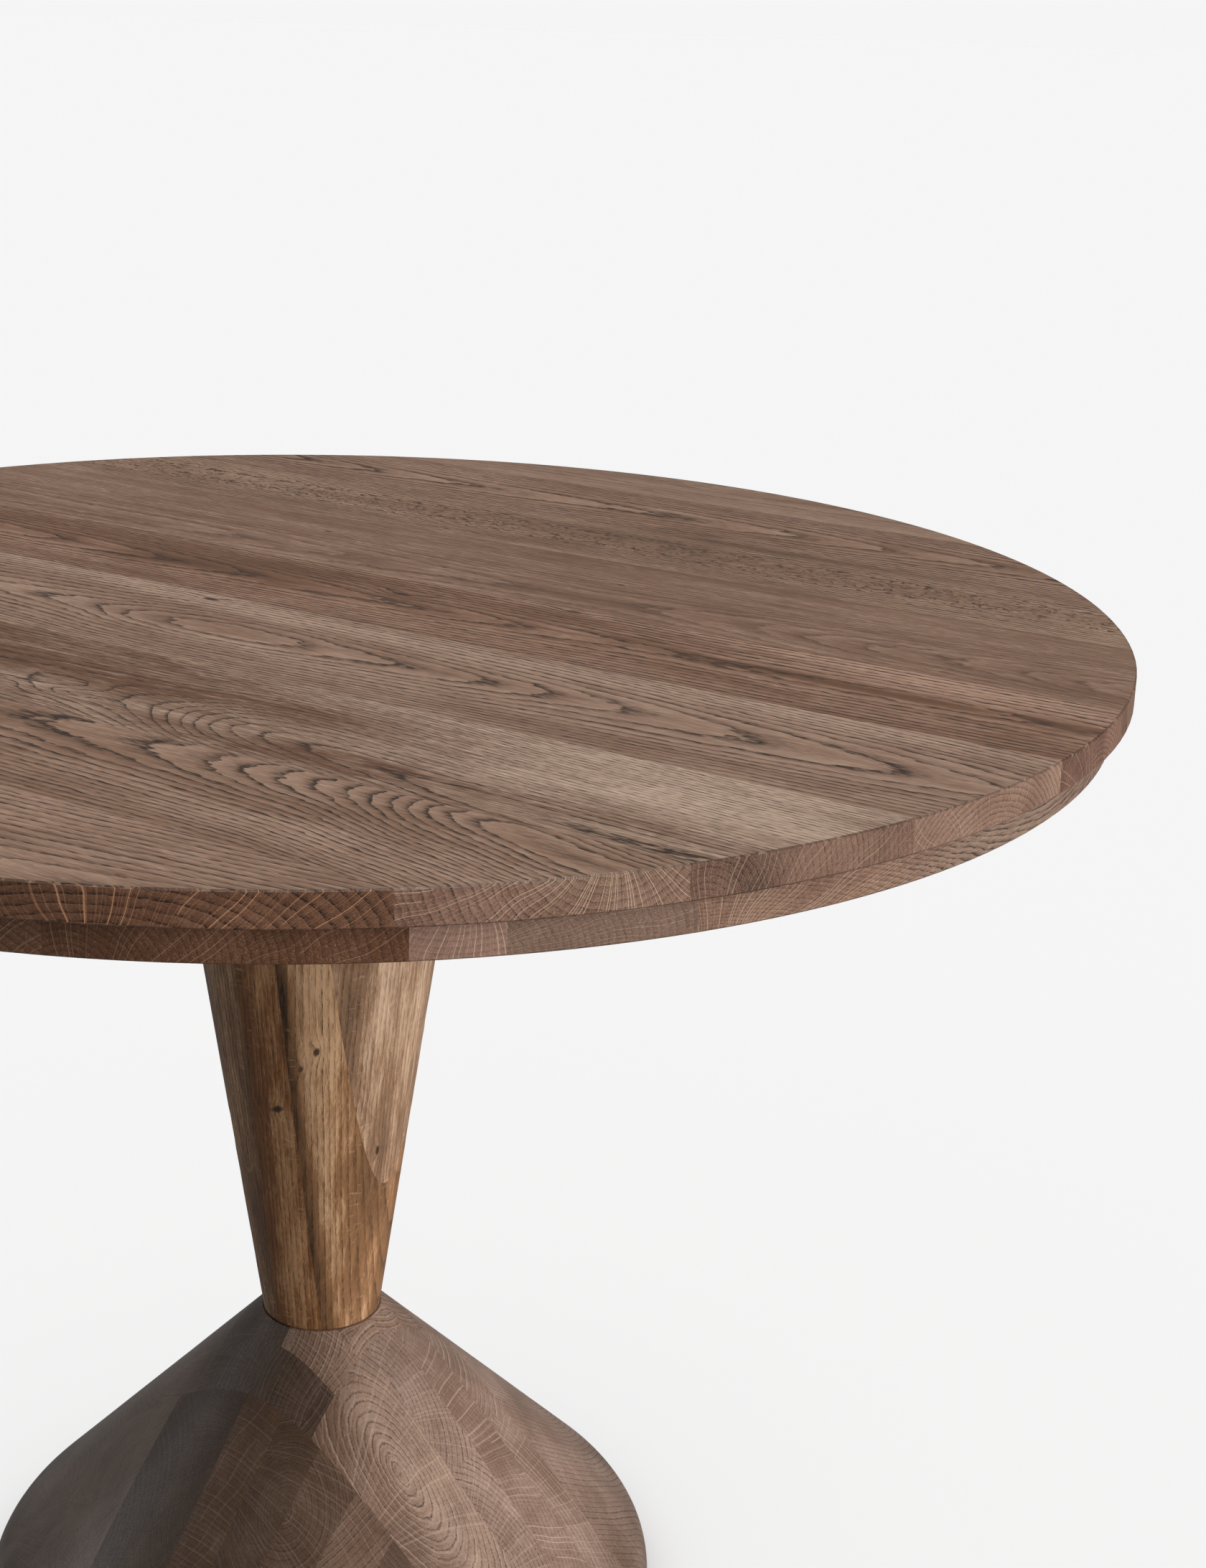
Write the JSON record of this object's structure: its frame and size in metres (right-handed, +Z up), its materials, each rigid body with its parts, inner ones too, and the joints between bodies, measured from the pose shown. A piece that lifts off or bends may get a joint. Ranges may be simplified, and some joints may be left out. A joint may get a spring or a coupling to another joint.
{
  "type": "round pedestal table",
  "caption": "Round dining table: a two-layer plank top on a turned hourglass pedestal with a conical end-grain base and levelling feet.",
  "frame": {"origin": "on the floor, on the table's upright axis", "axes": "+Z up along the turned pedestal, +X along the planks of the tabletop, +Y along the strips under them"},
  "size_m": [1.066, 1.0659, 0.762],
  "materials": {
    "oak_top": "satin",
    "oak_under": "satin",
    "oak_column": "satin",
    "oak_base": "satin",
    "black_steel": "matte",
    "zinc_steel": "satin",
    "glide_nylon": "matte"
  },
  "bodies": {
    "table": {"top_plank_1": "oak_top", "top_plank_2": "oak_top", "top_plank_3": "oak_top", "top_plank_4": "oak_top", "top_plank_5": "oak_top", "top_plank_6": "oak_top", "top_plank_7": "oak_top", "top_plank_8": "oak_top", "top_plank_9": "oak_top", "subtop_strip_1": "oak_under", "subtop_strip_2": "oak_under", "subtop_strip_3": "oak_under", "subtop_strip_4": "oak_under", "subtop_strip_5": "oak_under", "subtop_strip_6": "oak_under", "subtop_strip_7": "oak_under", "subtop_strip_8": "oak_under", "subtop_strip_9": "oak_under", "column_stave_1": "oak_column", "column_stave_2": "oak_column", "column_stave_3": "oak_column", "column_stave_4": "oak_column", "column_stave_5": "oak_column", "column_stave_6": "oak_column", "column_stave_7": "oak_column", "base_core": "oak_base", "base_block_east_1": "oak_base", "base_block_east_2": "oak_base", "base_block_east_3": "oak_base", "base_block_east_4": "oak_base", "base_block_north_1": "oak_base", "base_block_north_2": "oak_base", "base_block_north_3": "oak_base", "base_block_north_4": "oak_base", "base_block_west_1": "oak_base", "base_block_west_2": "oak_base", "base_block_west_3": "oak_base", "base_block_west_4": "oak_base", "base_block_south_1": "oak_base", "base_block_south_2": "oak_base", "base_block_south_3": "oak_base", "base_block_south_4": "oak_base", "mounting_plate": "black_steel", "plate_screws": "zinc_steel", "top_bolts": "zinc_steel", "top_inserts": "zinc_steel", "tie_rod": "zinc_steel", "rod_nuts": "zinc_steel", "rod_washer": "zinc_steel", "clamp_plate": "black_steel", "waist_dowels": "oak_column", "foot_inserts": "zinc_steel"},
    "foot_1": {"foot_pad_1": "glide_nylon"},
    "foot_2": {"foot_pad_2": "glide_nylon"},
    "foot_3": {"foot_pad_3": "glide_nylon"},
    "foot_4": {"foot_pad_4": "glide_nylon"},
    "stem_1": {"foot_stem_1": "zinc_steel"},
    "stem_2": {"foot_stem_2": "zinc_steel"},
    "stem_3": {"foot_stem_3": "zinc_steel"},
    "stem_4": {"foot_stem_4": "zinc_steel"}
  },
  "joints": [
    {"name": "foot_slide_1", "type": "slide", "parent": "table", "child": "foot_1", "axis": [0, 0, -1], "range_m": [0, 0.01]},
    {"name": "stem_turn_1", "type": "hinge", "parent": "foot_1", "child": "stem_1", "pos_m": [0.13435, -0.13435, 0], "axis": [0, 0, -1], "range_deg": [0, 2880]},
    {"name": "foot_slide_2", "type": "slide", "parent": "table", "child": "foot_2", "axis": [0, 0, -1], "range_m": [0, 0.01]},
    {"name": "stem_turn_2", "type": "hinge", "parent": "foot_2", "child": "stem_2", "pos_m": [0.13435, 0.13435, 0], "axis": [0, 0, -1], "range_deg": [0, 2880]},
    {"name": "foot_slide_3", "type": "slide", "parent": "table", "child": "foot_3", "axis": [0, 0, -1], "range_m": [0, 0.01]},
    {"name": "stem_turn_3", "type": "hinge", "parent": "foot_3", "child": "stem_3", "pos_m": [-0.13435, 0.13435, 0], "axis": [0, 0, -1], "range_deg": [0, 2880]},
    {"name": "foot_slide_4", "type": "slide", "parent": "table", "child": "foot_4", "axis": [0, 0, -1], "range_m": [0, 0.01]},
    {"name": "stem_turn_4", "type": "hinge", "parent": "foot_4", "child": "stem_4", "pos_m": [-0.13435, -0.13435, 0], "axis": [0, 0, -1], "range_deg": [0, 2880]}
  ],
  "couplings": [
    {"joint": "stem_turn_1", "follows": "foot_slide_1", "rad_per_m": 5026.5},
    {"joint": "stem_turn_2", "follows": "foot_slide_2", "rad_per_m": 5026.5},
    {"joint": "stem_turn_3", "follows": "foot_slide_3", "rad_per_m": 5026.5},
    {"joint": "stem_turn_4", "follows": "foot_slide_4", "rad_per_m": 5026.5}
  ]
}
